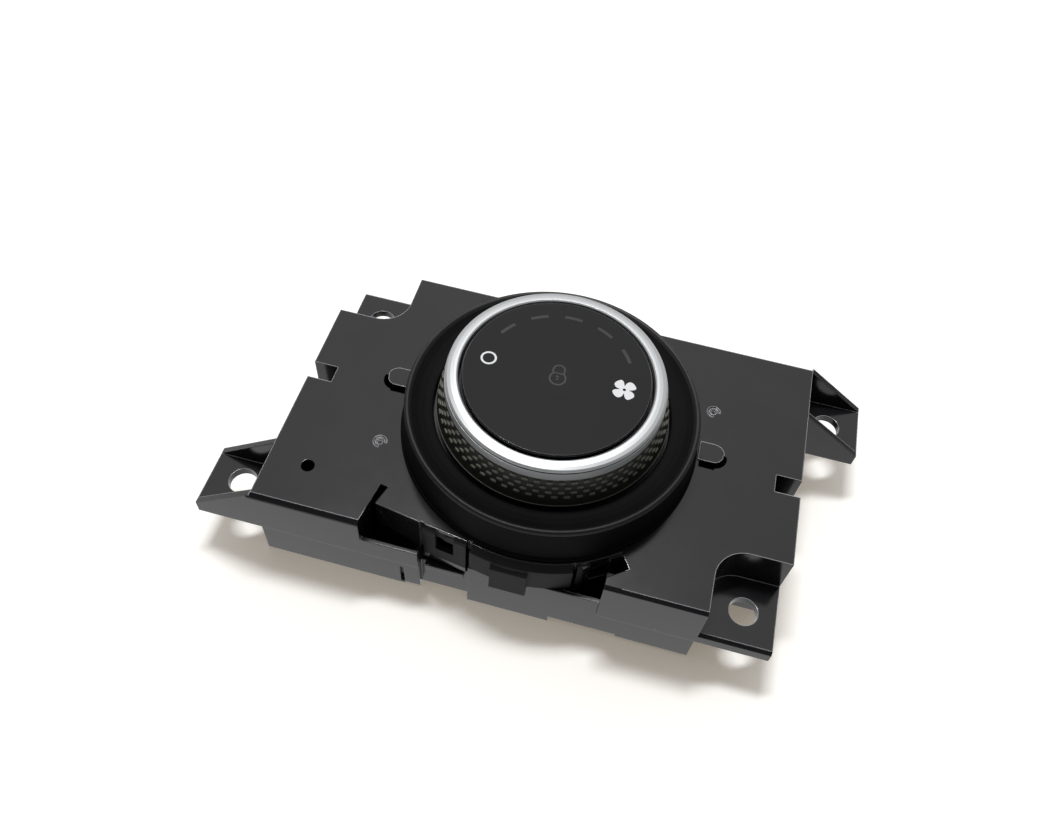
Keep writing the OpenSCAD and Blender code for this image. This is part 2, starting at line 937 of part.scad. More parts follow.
module trim_ring() {
    outer = grip_top_r + 0.05;
    color("#d9dadb")
        rotate_extrude()
            polygon([
                [rotor_out_r, trim_foot_z], [outer - 0.1, trim_foot_z], [outer, trim_foot_z + 0.1],
                [outer - 0.12, trim_top_z - 1.2], [outer - 0.5, trim_top_z - 1.1],
                [outer - 0.5, trim_top_z - 0.9], [outer - 0.25, trim_top_z - 0.8],
                [outer - 0.3, trim_top_z - 0.55], [outer - 0.6, trim_top_z - 0.26],
                [outer - 1.3, trim_top_z - 0.06], [outer - 2, trim_top_z + 0.02],
                [trim_in_r + 0.3, trim_top_z + 0.02], [trim_in_r, trim_top_z - 0.2],
                [trim_in_r, rotor_top], [rotor_out_r, rotor_top]
            ]);
}

front_housing();
rear_cover();
dial_surround();
centre_post();
dial_face();
diffuser();
light_shield();
light_guide();
circuit_board();
indicator_leds();
photo_interrupters();
microcontroller();
board_components();
socket_shell();
socket_pins();
cover_screws();
board_screws();
post_screws();
retaining_ring();
bearing_ring();
detent_spring();
detent_plunger();
rotor();
grip_ring();
trim_ring();
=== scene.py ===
import math

import bmesh
import bpy
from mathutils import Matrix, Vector


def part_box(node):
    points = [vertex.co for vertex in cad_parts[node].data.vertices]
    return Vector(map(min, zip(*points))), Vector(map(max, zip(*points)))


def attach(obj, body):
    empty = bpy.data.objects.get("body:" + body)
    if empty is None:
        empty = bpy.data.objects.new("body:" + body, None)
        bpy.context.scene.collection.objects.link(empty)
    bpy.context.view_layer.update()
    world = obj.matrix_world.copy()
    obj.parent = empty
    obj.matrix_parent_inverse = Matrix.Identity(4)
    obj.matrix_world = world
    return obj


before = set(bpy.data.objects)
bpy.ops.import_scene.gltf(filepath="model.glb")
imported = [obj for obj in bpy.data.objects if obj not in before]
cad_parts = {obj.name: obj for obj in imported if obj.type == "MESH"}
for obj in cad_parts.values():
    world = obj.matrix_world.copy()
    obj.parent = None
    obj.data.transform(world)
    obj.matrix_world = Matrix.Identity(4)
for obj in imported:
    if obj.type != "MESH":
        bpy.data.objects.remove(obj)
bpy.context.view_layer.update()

MM = 0.001
HOUSING = "housing"
KNOB = "knob"

# ---- sizes, in millimetres ---------------------------------------------------------------------------

FACE_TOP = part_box("dial_face")[1].z / MM
GRIP_FOOT, GRIP_TOP = (corner.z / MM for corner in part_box("grip_ring"))
GRIP_FOOT_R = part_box("grip_ring")[1].x / MM
GRIP_TOP_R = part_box("trim_ring")[1].x / MM

KNURL_ROWS = 4
KNURL_PER_ROW = 60
KNURL_ROW_PITCH = 1.25
KNURL_FIRST_ROW_BELOW_TOP = 0.7
KNURL_START_DEG = -97.5
BUMP_WIDTH = 1.3
BUMP_HEIGHT = 0.55
BUMP_PROUD = 0.22
BUMP_SUBDIVISIONS = 2
BUMP_CREASE = 0.55
BEAD_R = 0.13

# Printed marks: a thin film that is sunk a little into the face, so that no gap shows under it.
PRINT_PROUD = 0.015
PRINT_SUNK = 0.02
OFF_MARK_AT = (-14.34, 0.13)
OFF_MARK_OUTER_R = 1.66
OFF_MARK_STROKE = 0.42
FAN_AT = (13.76, 0.25)
FAN_TIP_R = 2.5
FAN_WAIST_R = 0.95
FAN_HUB_R = 0.33
FAN_START_DEG = 6
FAN_RISE_DEG = (3, 22)
FAN_FALL_DEG = (46, 86)
FAN_FALL_POWER = 2.5
LOCK_AT = (0.28, -0.86)
LOCK_BODY_R = 1.6
LOCK_STROKE = 0.35
LOCK_TOP_DEG = 52
LOCK_SHACKLE_R = 1.17
LOCK_SHACKLE_AT = (-0.16, 2.15)
LOCK_SHACKLE_FOOT = 1.35
KEYHOLE_AT = (-0.15, 0.4)
KEYHOLE_R = 0.3
KEYHOLE_CORE_R = 0.02
KEYHOLE_SLOT = ((-0.28, 0.3), (-0.14, -0.5))
KEYHOLE_SLOT_WIDTH = 0.26
SPEED_MARK_R = 15.4
SPEED_MARK_WIDTH = 0.7
SPEED_MARK_SWEEP_DEG = 14
SPEED_MARKS_DEG = (34.7, 62.4, 90, 117, 145)

# Where a finish, painted shade or painted edge highlight changes on one moulding: heights, radii, and boxes
# given by two corners.
TRIM_GROOVE = (41.58, 41.84)
TURRET_CREST_R = 29.6
TURRET_CREST_Z = 32.9
STRAPS = ((-19.5, -40.0, 13.3), (19.0, -30.3, 23.3))
TONGUE = ((-4.2, -40.0, 12.0), (4.2, -31.3, 20.9))
FRONT_POCKETS = ((-31.4, -40.0, 0.0), (22.5, -23.5, 24.2))
PIN_HOLE = ((-49.0, -27.0, 20.0), (-43.5, -21.0, 24.2))
LEFT_HOOK_SLOT = ((-42.0, -10.0, 20.0), (-31.0, 10.0, 24.2))
RIGHT_HOOK_SLOT = ((31.0, -10.0, 20.0), (42.0, 10.0, 24.2))
LONG_FRONT_EDGE = ((-56.0, -35.0, 22.0), (-31.0, -33.0, 23.3))

# Texture of the finishes
COLOUR_CLOUD = 9.0
SHINE_CLOUD = 3.0
DUST_CELL = 5.0
DUST_SPECK = 0.11
FACE_DUST_CELL = 4.0
FACE_DUST_SPECK = 0.08
FACE_HALO = (2.5, 5.0)
TURNED_GRAIN = 0.12

# ---- shares, strengths and colours -------------------------------------------------------------------

SHINE_DRIFT = 0.01
DUST_COLOUR = "#d8d6d0"
DUST_COVER = 0.45
FACE_DUST_COVER = 0.4
# Light grey base colour that paints a highlight on up-facing edges.
EDGE_HIGHLIGHT_PAINT = "#d0d0d4"
PLASTIC_INDEX = 1.52
MATT_INDEX = 1.2034
PLAIN_GLOSS = 0.5
# Cosines between the flat normal and the rounded one: where an edge starts to show, and where it is full.
EDGE_TURN = (0.99, 0.94)
# Upward share of the rounded normal: where the painted edge highlight starts, and where it is full.
EDGE_HIGHLIGHT_RISE = (0.7, 0.85)

# ---- camera in millimetres and degrees, studio in metres ---------------------------------------------

CAMERA_AT = (13.54, -113.85, 191.95)
CAMERA_TURN_DEG = (35.006, -3.104, 14.641)
CAMERA_LENS = 32.344
CAMERA_SENSOR = 36.0
CAMERA_NEAR = 5
ROOM_BRIGHT_WAY = (-0.1, 0.57, 0.82)
ROOM_BRIGHT = 1.0
ROOM_DIM = 0.1
ROOM_FOCUS = 3.0
TABLE_HALF = 1.5
TABLE_BELOW = 0.0002
TABLE_GLOW = 0.22
TABLE_MIRRORED = 0.82
TABLE_PLAIN_FROM = (0.14, 0.3)
SOFTBOX_AT = (-0.09, 0.15, 0.7)
SOFTBOX_SIZE = (0.22, 0.07)
SOFTBOX_POWER = 3.4


# ---- colours and nodes -------------------------------------------------------------------------------

def linear(hex_colour):
    """An sRGB hex colour as linear RGBA."""
    shares = [int(hex_colour[i:i + 2], 16) / 255 for i in (1, 3, 5)]
    return tuple(s / 12.92 if s <= 0.04045 else ((s + 0.055) / 1.055) ** 2.4 for s in shares) + (1.0,)


def add(tree, kind, inputs=None, **settings):
    """Adds a node. An input is named by its label or number, and takes a value or another node's output."""
    node = tree.nodes.new(kind)
    for key, value in settings.items():
        setattr(node, key, value)
    for key, value in (inputs or {}).items():
        if isinstance(value, bpy.types.NodeSocket):
            tree.links.new(value, node.inputs[key])
        else:
            node.inputs[key].default_value = value
    return node


def math_node(tree, operation, a, b=0.0):
    return add(tree, "ShaderNodeMath", {0: a, 1: b}, operation=operation).outputs[0]


def vector_node(tree, operation, *inputs):
    """A vector, or the number that a dot product, a length or a distance gives."""
    node = add(tree, "ShaderNodeVectorMath", dict(enumerate(inputs)), operation=operation)
    return node.outputs["Value" if operation in ("DOT_PRODUCT", "LENGTH", "DISTANCE") else "Vector"]


def split(tree, vector):
    return add(tree, "ShaderNodeSeparateXYZ", {0: vector}).outputs


def joined(tree, x=0.0, y=0.0, z=0.0):
    return add(tree, "ShaderNodeCombineXYZ", {0: x, 1: y, 2: z}).outputs[0]


def new_material(name):
    """A material with an empty tree, and the point on the object that its patterns are laid out by."""
    material = bpy.data.materials.new(name)
    material.use_nodes = True
    tree = material.node_tree
    tree.nodes.clear()
    return material, tree, add(tree, "ShaderNodeTexCoord").outputs["Object"]


def finish_material(material, shader):
    add(material.node_tree, "ShaderNodeOutputMaterial", {"Surface": shader})
    return material


def principled(material, inputs):
    return finish_material(material, add(material.node_tree, "ShaderNodeBsdfPrincipled", inputs).outputs[0])


def per_metre(size_mm):
    """Scale of a noise or cell pattern on Object coordinates whose features are size_mm across."""
    return 1.0 / (size_mm * MM)


def noise(tree, place, size_mm, detail=2.0):
    inputs = {"Vector": place, "Scale": per_metre(size_mm), "Detail": detail}
    return add(tree, "ShaderNodeTexNoise", inputs).outputs["Fac"]


def ramp(tree, value, low, high, to_low, to_high):
    limits = {"Value": value, "From Min": low, "From Max": high, "To Min": to_low, "To Max": to_high}
    return add(tree, "ShaderNodeMapRange", limits).outputs["Result"]


def mixed_colour(tree, share, first, second):
    return add(tree, "ShaderNodeMix", {0: share, 6: first, 7: second}, data_type="RGBA").outputs[2]


def rounded(tree, radius_mm, samples):
    """The surface normal, with sharp edges softened to a radius."""
    return add(tree, "ShaderNodeBevel", {"Radius": radius_mm * MM}, samples=samples).outputs[0]


def grained(tree, height, strength, depth_mm, edge):
    inputs = {"Height": height, "Strength": strength, "Distance": depth_mm * MM, "Normal": edge}
    return add(tree, "ShaderNodeBump", inputs).outputs[0]


def edge_share(tree, edge, most):
    """Up to most where the rounded normal leaves the flat one, and 0 elsewhere."""
    flat = add(tree, "ShaderNodeNewGeometry").outputs["Normal"]
    return ramp(tree, vector_node(tree, "DOT_PRODUCT", edge, flat), *EDGE_TURN, 0.0, most)


def dusty(tree, place, base, cell_mm, speck_mm, share, cover):
    """Small round specks of dust that lie in some of the cells of a loose grid."""
    cells = add(tree, "ShaderNodeTexVoronoi", {"Vector": place, "Scale": per_metre(cell_mm)})
    near = math_node(tree, "LESS_THAN", cells.outputs["Distance"], speck_mm / cell_mm)
    chosen = add(tree, "ShaderNodeSeparateColor", {0: cells.outputs["Color"]})
    specks = math_node(tree, "MULTIPLY", near, math_node(tree, "LESS_THAN", chosen.outputs[0], share))
    return mixed_colour(tree, math_node(tree, "MULTIPLY", specks, cover), base, linear(DUST_COLOUR))


def axis_reach(tree, place):
    """Distance from the dial's axis."""
    x, y, _ = split(tree, place)
    return vector_node(tree, "LENGTH", joined(tree, x, y))


def inside_box(tree, place, low, high):
    """1 inside a box given by two corners in millimetres."""
    middle = [(a + b) / 2 * MM for a, b in zip(low, high)]
    half = [(b - a) / 2 * MM for a, b in zip(low, high)]
    share = vector_node(tree, "DIVIDE", vector_node(tree, "SUBTRACT", place, middle), half)
    x, y, z = split(tree, vector_node(tree, "ABSOLUTE", share))
    furthest = math_node(tree, "MAXIMUM", math_node(tree, "MAXIMUM", x, y), z)
    return math_node(tree, "LESS_THAN", furthest, 1.0)


def inside_any(tree, place, boxes):
    share = 0.0
    for low, high in boxes:
        share = math_node(tree, "MAXIMUM", share, inside_box(tree, place, low, high))
    return share


def painted_edge_highlight(tree, place, edge, most, unhighlit_boxes):
    """Painted highlight on the edges that face up, outside the boxes where none is painted."""
    rise = ramp(tree, split(tree, edge)[2], *EDGE_HIGHLIGHT_RISE, 0.0, 1.0)
    highlight_mask = math_node(tree, "MULTIPLY", edge_share(tree, edge, most), rise)
    highlight_allowed = math_node(tree, "SUBTRACT", 1.0, inside_any(tree, place, unhighlit_boxes))
    return math_node(tree, "MULTIPLY", highlight_mask, highlight_allowed)


def leaned_back(tree, place, edge, box):
    """The normal of an upright wall that leans back more and more towards the top of a box."""
    low, high = box
    climb = ramp(tree, split(tree, place)[2], low[2] * MM, high[2] * MM, 0.0, 1.0)
    lean = math_node(tree, "MULTIPLY", climb, inside_box(tree, place, low, high))
    return vector_node(tree, "NORMALIZE", vector_node(tree, "ADD", edge, joined(tree, z=lean)))


def moulded(name, colours, roughness, grain_mm, grain_depth_mm, edge_mm, dust=0.0, index=PLASTIC_INDEX,
            zone=None, zone_roughness=0.0, zone_gloss=PLAIN_GLOSS, edge_highlight=0.0, unhighlit_boxes=(), rolled=None):
    """Injection-moulded plastic: even colour, fine grain from the tool, softly rounded edges, a little dust.

    Where zone(tree, place) is 1 the tool leaves another roughness and gloss. Edges that face up carry a
    painted highlight in light grey, except in the boxes where none is painted. In the rolled box an upright
    wall leans back towards its top.
    """
    material, tree, place = new_material(name)
    cloud = ramp(tree, noise(tree, place, COLOUR_CLOUD), 0.35, 0.65, 0.0, 1.0)
    base = mixed_colour(tree, cloud, linear(colours[0]), linear(colours[1]))
    if dust:
        base = dusty(tree, place, base, DUST_CELL, DUST_SPECK, dust, DUST_COVER)
    cloud = noise(tree, place, SHINE_CLOUD)
    shine = ramp(tree, cloud, 0.3, 0.7, roughness - SHINE_DRIFT, roughness + SHINE_DRIFT)
    gloss = PLAIN_GLOSS
    if zone:
        share = zone(tree, place)
        shine = math_node(tree, "ADD", shine, math_node(tree, "MULTIPLY", share, zone_roughness - roughness))
        gloss = ramp(tree, share, 0.0, 1.0, PLAIN_GLOSS, zone_gloss)
    edge = rounded(tree, edge_mm, 8)
    # Painted highlight: up-facing edges are mixed towards a light grey base colour.
    if edge_highlight:
        highlight_mask = painted_edge_highlight(tree, place, edge, edge_highlight, unhighlit_boxes)
        base = mixed_colour(tree, highlight_mask, base, linear(EDGE_HIGHLIGHT_PAINT))
    if rolled:
        edge = leaned_back(tree, place, edge, rolled)
    bump = grained(tree, noise(tree, place, grain_mm, 3.0), 0.5, grain_depth_mm, edge)
    return principled(material, {"Base Color": base, "Roughness": shine, "IOR": index,
                                 "Specular IOR Level": gloss, "Normal": bump})


# ---- materials ---------------------------------------------------------------------------------------

def satin_abs():
    """Black ABS from a finely blasted tool: an even satin, charcoal under a wide light.

    The straps and the tongue come from an eroded slide and are duller. Edges of the deck that face up carry
    a painted highlight in light grey.
    """
    # Boxes where no painted edge highlight is laid.
    unhighlit_boxes = (FRONT_POCKETS, PIN_HOLE, LEFT_HOOK_SLOT, RIGHT_HOOK_SLOT)
    return moulded("satin_abs", ("#131316", "#171719"), 0.15, 0.16, 0.004, 0.3, dust=0.3,
                   zone=lambda tree, place: inside_any(tree, place, (STRAPS, TONGUE)),
                   zone_roughness=0.6, zone_gloss=0.2,
                   edge_highlight=0.9, unhighlit_boxes=unhighlit_boxes, rolled=LONG_FRONT_EDGE)


def polished_abs():
    """Black ABS from a plain milled tool: darker and shinier than the deck."""
    # Up-facing edges carry a faint painted highlight.
    return moulded("polished_abs", ("#151517", "#19191b"), 0.2, 0.4, 0.002, 0.3, edge_highlight=0.4)


def turret_crest(tree, place):
    """1 on the turret's crest."""
    outside = math_node(tree, "GREATER_THAN", axis_reach(tree, place), TURRET_CREST_R * MM)
    above = math_node(tree, "GREATER_THAN", split(tree, place)[2], TURRET_CREST_Z * MM)
    return math_node(tree, "MULTIPLY", outside, above)


def turret_abs():
    """Black ABS of the turret: dead matt, with a soft bright line on its crest.

    Its low index mirrors a fifth of what the other plastics do. The crest's gloss brings most of that back.
    """
    return moulded("turret_abs", ("#040405", "#070708"), 0.7, 0.15, 0.003, 0.6, dust=0.12, index=MATT_INDEX,
                   zone=turret_crest, zone_roughness=0.5, zone_gloss=1.9)


def soft_touch_elastomer():
    """Soft-touch elastomer of the grip: dull graphite with an olive cast."""
    return moulded("soft_touch_elastomer", ("#1d1d19", "#24241f"), 0.42, 0.1, 0.003, 0.12)


def knurl_elastomer():
    """The same elastomer on the bumps, in a lighter base colour that paints a highlight on them."""
    return moulded("knurl_elastomer", ("#5a5a51", "#66665c"), 0.36, 0.1, 0.003, 0.08)


def painted_highlight_elastomer():
    """Bead at the grip's foot: shiny, in a pale base colour that paints a highlight line round the knob."""
    return moulded("painted_highlight_elastomer", ("#7a7a76", "#84847f"), 0.2, 0.3, 0.001, 0.05)


def inner_plastic(name, low, high, roughness):
    """Plain moulded plastic of the parts inside: an even colour with a fine grain."""
    return moulded(name, (low, high), roughness, 0.3, 0.003, 0.15)


def satin_silver():
    """Satin silver trim ring: bright, a very fine turned grain, and painted shade in a thin dark band at the
    groove.
    """
    material, tree, place = new_material("satin_silver")
    height = split(tree, place)[2]
    turned = noise(tree, joined(tree, axis_reach(tree, place), height), TURNED_GRAIN)
    base = mixed_colour(tree, turned, linear("#b9bbbc"), linear("#c4c6c7"))
    # Painted shade: the base colour turns dark in a thin band at the groove's height.
    low, high = TRIM_GROOVE
    groove_shade = math_node(tree, "MULTIPLY", math_node(tree, "GREATER_THAN", height, low * MM),
                          math_node(tree, "LESS_THAN", height, high * MM))
    base = mixed_colour(tree, groove_shade, base, linear("#2c332f"))
    bump = grained(tree, turned, 0.3, 0.002, rounded(tree, 0.12, 6))
    return principled(material, {"Base Color": base, "Metallic": 0.65, "Roughness": 0.42, "Normal": bump})


def smoked_polycarbonate():
    """Smoked polycarbonate of the face: polished, near black with a blue cast, lighter round the lock.

    A painted highlight runs round its edge as a thin grey line, and a few specks of dust lie on it.
    """
    material, tree, place = new_material("smoked_polycarbonate")
    centre = (LOCK_AT[0] * MM, LOCK_AT[1] * MM, FACE_TOP * MM)
    near, far = FACE_HALO
    halo = ramp(tree, vector_node(tree, "DISTANCE", place, centre), near * MM, far * MM, 0.6, 0.0)
    base = mixed_colour(tree, halo, linear("#020204"), linear("#0b0b0f"))
    base = dusty(tree, place, base, FACE_DUST_CELL, FACE_DUST_SPECK, 0.3, FACE_DUST_COVER)
    edge = rounded(tree, 0.2, 6)
    # Painted highlight: a thin grey line of base colour round the face's edge.
    base = mixed_colour(tree, edge_share(tree, edge, 0.7), base, linear("#77787c"))
    bump = grained(tree, noise(tree, place, 0.2), 0.3, 0.001, edge)
    return principled(material, {"Base Color": base, "Roughness": 0.14, "IOR": 1.45,
                                 "Specular IOR Level": 0.42, "Normal": bump})


def printed(name, low, high):
    """Screen-printed ink with a faintly uneven film."""
    material, tree, place = new_material(name)
    base = mixed_colour(tree, noise(tree, place, 0.5), linear(low), linear(high))
    return principled(material, {"Base Color": base, "Roughness": 0.35})


def metal(name, low, high, roughness, grain_mm):
    """Plated or bare metal with a fine irregular grain."""
    material, tree, place = new_material(name)
    grain = noise(tree, place, grain_mm)
    base = mixed_colour(tree, grain, linear(low), linear(high))
    bump = grained(tree, grain, 0.3, 0.003, rounded(tree, 0.08, 4))
    return principled(material, {"Base Color": base, "Metallic": 1.0, "Roughness": roughness, "Normal": bump})


def clear_acrylic():
    """Polished acrylic of the light pipes: clear, with a faint unevenness in its polish."""
    material, tree, place = new_material("clear_acrylic")
    shine = ramp(tree, noise(tree, place, 1.0), 0.3, 0.7, 0.04, 0.1)
    return principled(material, {"Base Color": linear("#eef3f5"), "Roughness": shine, "IOR": 1.49,
                                 "Transmission Weight": 0.9})


def dress_nodes():
    """Gives every CAD node its finish."""
    deck = satin_abs()
    zinc = metal("zinc_plate", "#8d9092", "#a5a8aa", 0.32, 0.3)
    spring = metal("spring_steel", "#8a8c90", "#9c9ea2", 0.28, 0.2)
    white = inner_plastic("white_acetal", "#d9d6cc", "#e2dfd6", 0.4)
    black = inner_plastic("black_nylon", "#111112", "#161617", 0.45)
    finishes = {
        "front_housing": deck,
        "rear_cover": polished_abs(),
        "dial_surround": turret_abs(),
        "centre_post": black,
        "dial_face": smoked_polycarbonate(),
        "diffuser": inner_plastic("milky_polycarbonate", "#e6e6e0", "#eeeee9", 0.5),
        "light_shield": black,
        "light_guide": clear_acrylic(),
        "circuit_board": inner_plastic("solder_mask", "#1c5a3a", "#216343", 0.3),
        "indicator_leds": inner_plastic("lamp_body", "#e8e2c4", "#f0ebd0", 0.3),
        "photo_interrupters": black,
        "microcontroller": black,
        "board_components": inner_plastic("ceramic_tan", "#b39a6e", "#bfa67a", 0.4),
        "socket_shell": black,
        "socket_pins": metal("gold_flash", "#c39a3c", "#d0a94c", 0.25, 0.2),
        "cover_screws": zinc,
        "board_screws": zinc,
        "post_screws": zinc,
        "retaining_ring": spring,
        "bearing_ring": white,
        "detent_spring": spring,
        "detent_plunger": white,
        "rotor": black,
        "grip_ring": soft_touch_elastomer(),
        "trim_ring": satin_silver(),
    }
    for name, finish in finishes.items():
        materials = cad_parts[name].data.materials
        materials.clear()
        materials.append(finish)


# ---- meshes ------------------------------------------------------------------------------------------

def new_piece(name, mesh, body, material=None):
    """Puts a finished mesh in the scene, on the body that carries it."""
    piece = bpy.data.objects.new(name, mesh)
    bpy.context.scene.collection.objects.link(piece)
    if material:
        mesh.materials.append(material)
    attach(piece, body)


def add_band(shape, outer, inner, low, high, closed=True):
    """Adds a thin closed solid between two lines of points in the plane. The lines run the same way."""
    rows = [[shape.verts.new((x * MM, y * MM, z * MM)) for x, y in line]
            for z in (low, high) for line in (outer, inner)]
    outer_low, inner_low, outer_high, inner_high = rows
    count = len(outer)
    for i in range(count if closed else count - 1):
        j = (i + 1) % count
        shape.faces.new((outer_high[i], outer_high[j], inner_high[j], inner_high[i]))
        shape.faces.new((outer_low[j], outer_low[i], inner_low[i], inner_low[j]))
        shape.faces.new((outer_low[i], outer_low[j], outer_high[j], outer_high[i]))
        shape.faces.new((inner_low[j], inner_low[i], inner_high[i], inner_high[j]))
    if not closed:
        for k in (0, count - 1):
            shape.faces.new((outer_low[k], outer_high[k], inner_high[k], inner_low[k]))


def arc(centre, radius, start_deg, end_deg, steps):
    angles = [math.radians(start_deg + (end_deg - start_deg) * i / steps) for i in range(steps + 1)]
    return [(centre[0] + radius * math.cos(a), centre[1] + radius * math.sin(a)) for a in angles]


def circle(centre, radius, steps):
    return arc(centre, radius, 0, 360, steps)[:-1]


def mesh_of(name, shape):
    """The finished mesh of a closed shape, with its normals outward."""
    bmesh.ops.recalc_face_normals(shape, faces=shape.faces)
    mesh = bpy.data.meshes.new(name)
    shape.to_mesh(mesh)
    shape.free()
    return mesh


# ---- printed marks on the face -----------------------------------------------------------------------

def print_mark(name, bands, material):
    """A printed mark on the face, from bands of (outer line, inner line, closed)."""
    shape = bmesh.new()
    for outer, inner, closed in bands:
        add_band(shape, outer, inner, FACE_TOP - PRINT_SUNK, FACE_TOP + PRINT_PROUD, closed)
    new_piece(name, mesh_of(name, shape), HOUSING, material)


def off_mark(ink):
    """Open ring."""
    outer = circle(OFF_MARK_AT, OFF_MARK_OUTER_R, 64)
    inner = circle(OFF_MARK_AT, OFF_MARK_OUTER_R - OFF_MARK_STROKE, 64)
    print_mark("off_mark", [(outer, inner, True)], ink)


def share_between(value, limits):
    """0 up to the first limit, 1 from the second."""
    start, end = limits
    return min(max((value - start) / (end - start), 0), 1)


def fan_blade_r(turn_deg):
    """Radius of the fan's outline: each quarter turn rises fast to the tip and falls slowly to the waist."""
    turn = turn_deg % 90
    rise = math.sqrt(1 - (1 - share_between(turn, FAN_RISE_DEG)) ** 2)
    fall = 1 - share_between(turn, FAN_FALL_DEG) ** FAN_FALL_POWER
    return FAN_WAIST_R + (FAN_TIP_R - FAN_WAIST_R) * rise * fall


def fan_mark(ink):
    """Fan with four blades and an open hub."""
    steps = 180
    turns = [360 * i / steps for i in range(steps)]
    outer = []
    for turn in turns:
        angle = math.radians(FAN_START_DEG + turn)
        radius = fan_blade_r(turn)
        outer.append((FAN_AT[0] + radius * math.cos(angle), FAN_AT[1] + radius * math.sin(angle)))
    inner = arc(FAN_AT, FAN_HUB_R, FAN_START_DEG, FAN_START_DEG + 360, steps)[:-1]
    print_mark("fan_mark", [(outer, inner, True)], ink)


def lock_mark(ink):
    """Padlock in outline: a round body with a flat top, a tall shackle and a keyhole."""
    half = LOCK_STROKE / 2

    def placed(offset):
        return LOCK_AT[0] + offset[0], LOCK_AT[1] + offset[1]

    def body(radius):
        return arc(LOCK_AT, radius, 180 - LOCK_TOP_DEG, 360 + LOCK_TOP_DEG, 48)

    def shackle(radius):
        middle, foot = placed(LOCK_SHACKLE_AT), LOCK_AT[1] + LOCK_SHACKLE_FOOT
        return [(middle[0] - radius, foot)] + arc(middle, radius, 180, 0, 24) + [(middle[0] + radius, foot)]

    keyhole = placed(KEYHOLE_AT)
    slot = [placed(corner) for corner in KEYHOLE_SLOT]
    bands = [
        (body(LOCK_BODY_R + half), body(LOCK_BODY_R - half), True),
        (shackle(LOCK_SHACKLE_R + half), shackle(LOCK_SHACKLE_R - half), False),
        (circle(keyhole, KEYHOLE_R, 16), circle(keyhole, KEYHOLE_CORE_R, 16), True),
        (slot, [(x + KEYHOLE_SLOT_WIDTH, y) for x, y in slot], False),
    ]
    print_mark("lock_mark", bands, ink)


def speed_marks(ink):
    """Five short strokes along the face's back edge."""
    bands = []
    for middle in SPEED_MARKS_DEG:
        start, end = middle - SPEED_MARK_SWEEP_DEG / 2, middle + SPEED_MARK_SWEEP_DEG / 2
        bands.append((arc((0, 0), SPEED_MARK_R + SPEED_MARK_WIDTH / 2, start, end, 16),
                      arc((0, 0), SPEED_MARK_R - SPEED_MARK_WIDTH / 2, start, end, 16), False))
    print_mark("speed_marks", bands, ink)


def dress_face():
    white_ink = printed("white_ink", "#d6d7da", "#dedfe1")
    hidden_ink = printed("unlit_legend", "#131315", "#1a1a1c")
    off_mark(white_ink)
    fan_mark(white_ink)
    lock_mark(hidden_ink)
    speed_marks(hidden_ink)


# ---- knurled grip ------------------------------------------------------------------------------------

def grip_radius(z):
    """The grip is a cone, widest at its foot."""
    share = (z - GRIP_FOOT) / (GRIP_TOP - GRIP_FOOT)
    return GRIP_FOOT_R + (GRIP_TOP_R - GRIP_FOOT_R) * share


def knurl_tree(material):
    """Rows of bumps round a cone: every bump's point is placed by its number and bears one rounded brick."""
    tree = bpy.data.node_groups.new("knurl", "GeometryNodeTree")
    for label in ("Rows", "Per Row"):
        tree.interface.new_socket(label, in_out="INPUT", socket_type="NodeSocketInt")
    for label in ("Top", "Row Pitch", "Top Radius", "Slope", "Start", "Width", "Height", "Proud"):
        tree.interface.new_socket(label, in_out="INPUT", socket_type="NodeSocketFloat")
    tree.interface.new_socket("Geometry", in_out="OUTPUT", socket_type="NodeSocketGeometry")
    value = add(tree, "NodeGroupInput").outputs

    def calc(operation, a, b=0.0):
        return math_node(tree, operation, a, b)

    total = calc("MULTIPLY", value["Rows"], value["Per Row"])
    points = add(tree, "GeometryNodePoints", {"Count": total})
    index = add(tree, "GeometryNodeInputIndex").outputs[0]
    row = calc("FLOOR", calc("DIVIDE", index, value["Per Row"]))
    pitch = calc("DIVIDE", 2 * math.pi, value["Per Row"])
    stagger = calc("MULTIPLY", calc("MODULO", row, 2.0), 0.5)
    angle = calc("ADD", value["Start"], calc("MULTIPLY", pitch, calc("ADD", index, stagger)))
    down = calc("MULTIPLY", row, value["Row Pitch"])
    radius = calc("ADD", value["Top Radius"], calc("MULTIPLY", down, value["Slope"]))
    place = joined(tree, calc("MULTIPLY", radius, calc("COSINE", angle)),
                   calc("MULTIPLY", radius, calc("SINE", angle)), calc("SUBTRACT", value["Top"], down))
    turn = joined(tree, y=calc("MULTIPLY", calc("ARCTANGENT", value["Slope"]), -1.0), z=angle)
    size = joined(tree, value["Proud"], value["Width"], value["Height"])
    block = add(tree, "GeometryNodeMeshCube", {"Size": (2.0, 2.0, 2.0)})
    bump = add(tree, "GeometryNodeSubdivisionSurface", {
        "Mesh": block.outputs["Mesh"], "Level": BUMP_SUBDIVISIONS, "Edge Crease": BUMP_CREASE})
    smooth = add(tree, "GeometryNodeSetShadeSmooth", {"Geometry": bump.outputs["Mesh"]})
    placed = add(tree, "GeometryNodeSetPosition", {0: points.outputs[0], "Position": place})
    copies = add(tree, "GeometryNodeInstanceOnPoints", {
        "Points": placed.outputs[0], "Instance": smooth.outputs[0], "Rotation": turn, "Scale": size})
    real = add(tree, "GeometryNodeRealizeInstances", {0: copies.outputs[0]})
    dressed = add(tree, "GeometryNodeSetMaterial", {"Geometry": real.outputs[0], "Material": material})
    add(tree, "NodeGroupOutput", {0: dressed.outputs[0]})
    return tree


